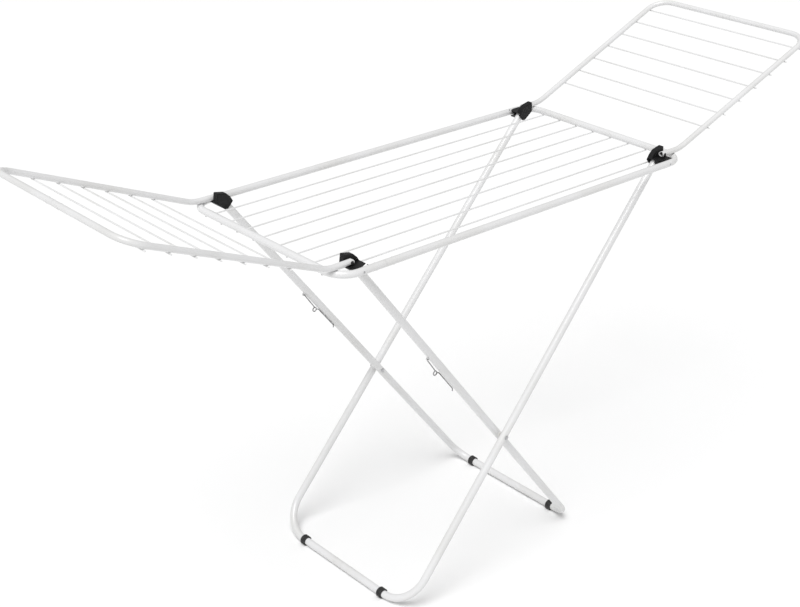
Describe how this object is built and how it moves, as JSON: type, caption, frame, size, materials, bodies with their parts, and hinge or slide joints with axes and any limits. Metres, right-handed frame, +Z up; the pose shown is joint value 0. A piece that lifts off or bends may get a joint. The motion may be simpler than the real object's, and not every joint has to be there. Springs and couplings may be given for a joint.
{
  "type": "clothes drying rack",
  "caption": "Folding clothes drying rack of white coated tube: wired centre frame, two raised side wings and crossed legs on ring feet.",
  "frame": {"origin": "on the floor, at the centre of the rack's footprint", "axes": "+X along the rack's length towards the wing on the outer leg's top side, +Y towards the rear, +Z up"},
  "size_m": [2.025, 0.5064, 1.1344],
  "materials": {
    "white_coated_steel": "smooth satin white epoxy coating on steel",
    "black_plastic": "fine moulded texture",
    "foot_rubber": "soft matte",
    "spring_wire": "drawn spring wire",
    "zinc_steel": "dull zinc plate",
    "black_steel": "black oxide",
    "spacer_plastic": "natural nylon"
  },
  "bodies": {
    "frame": {"centre_frame_ferrule": "zinc_steel", "centre_frame_tube": "white_coated_steel", "centre_wire_1": "white_coated_steel", "centre_wire_2": "white_coated_steel", "centre_wire_3": "white_coated_steel", "centre_wire_4": "white_coated_steel", "centre_wire_5": "white_coated_steel", "centre_wire_6": "white_coated_steel", "centre_wire_7": "white_coated_steel", "centre_wire_8": "white_coated_steel", "hinge_block_left_front": "black_plastic", "hinge_block_left_rear": "black_plastic", "hinge_block_right_front": "black_plastic", "hinge_block_right_rear": "black_plastic", "hinge_block_rivets": "zinc_steel", "inner_leg_pivot_pin_front": "black_steel", "inner_leg_pivot_pin_rear": "black_steel", "wing_pivot_pin_left_front": "black_steel", "wing_pivot_pin_left_rear": "black_steel", "wing_pivot_pin_right_front": "black_steel", "wing_pivot_pin_right_rear": "black_steel"},
    "left_wing": {"left_wing_ferrule": "zinc_steel", "left_wing_tube_front": "white_coated_steel", "left_wing_tube_rear": "white_coated_steel", "left_wing_wire_1": "white_coated_steel", "left_wing_wire_2": "white_coated_steel", "left_wing_wire_3": "white_coated_steel", "left_wing_wire_4": "white_coated_steel", "left_wing_wire_5": "white_coated_steel", "left_wing_wire_6": "white_coated_steel", "left_wing_wire_7": "white_coated_steel"},
    "right_wing": {"right_wing_ferrule": "zinc_steel", "right_wing_tube_front": "white_coated_steel", "right_wing_tube_rear": "white_coated_steel", "right_wing_wire_1": "white_coated_steel", "right_wing_wire_2": "white_coated_steel", "right_wing_wire_3": "white_coated_steel", "right_wing_wire_4": "white_coated_steel", "right_wing_wire_5": "white_coated_steel", "right_wing_wire_6": "white_coated_steel", "right_wing_wire_7": "white_coated_steel"},
    "inner_leg": {"cross_rivet_front": "zinc_steel", "cross_rivet_rear": "zinc_steel", "cross_spacer_front": "spacer_plastic", "cross_spacer_rear": "spacer_plastic", "inner_foot_front": "foot_rubber", "inner_foot_rear": "foot_rubber", "inner_leg_ferrule": "zinc_steel", "inner_leg_tube_front": "white_coated_steel", "inner_leg_tube_rear": "white_coated_steel", "leg_latch_lug_front": "white_coated_steel", "leg_latch_lug_rear": "white_coated_steel"},
    "outer_leg": {"outer_foot_front": "foot_rubber", "outer_foot_rear": "foot_rubber", "outer_leg_ferrule": "zinc_steel", "outer_leg_tube_front": "white_coated_steel", "outer_leg_tube_rear": "white_coated_steel"},
    "latch_front": {"leg_latch_front": "spring_wire"},
    "latch_rear": {"leg_latch_rear": "spring_wire"}
  },
  "joints": [
    {"name": "left_wing_fold", "type": "hinge", "parent": "frame", "child": "left_wing", "pos_m": [-0.484, 0, 0.9408], "axis": [0, 1, 0], "range_deg": [0, 157]},
    {"name": "right_wing_fold", "type": "hinge", "parent": "frame", "child": "right_wing", "pos_m": [0.484, 0, 0.9408], "axis": [0, -1, 0], "range_deg": [0, 153]},
    {"name": "inner_leg_fold", "type": "hinge", "parent": "frame", "child": "inner_leg", "pos_m": [-0.465, 0, 0.923], "axis": [0, 1, 0], "range_deg": [0, 37.5]},
    {"name": "outer_leg_fold", "type": "hinge", "parent": "inner_leg", "child": "outer_leg", "pos_m": [0, 0, 0.36229], "axis": [0, -1, 0], "range_deg": [0, 75.2]},
    {"name": "front_latch_swing", "type": "hinge", "parent": "inner_leg", "child": "latch_front", "pos_m": [-0.24555, -0.20711, 0.6399], "axis": [0, 1, 0], "range_deg": [0, 120]},
    {"name": "rear_latch_swing", "type": "hinge", "parent": "inner_leg", "child": "latch_rear", "pos_m": [-0.24555, 0.20711, 0.6399], "axis": [0, 1, 0], "range_deg": [0, 120]}
  ],
  "couplings": [
    {"joint": "outer_leg_fold", "follows": "inner_leg_fold", "ratio": 2}
  ]
}
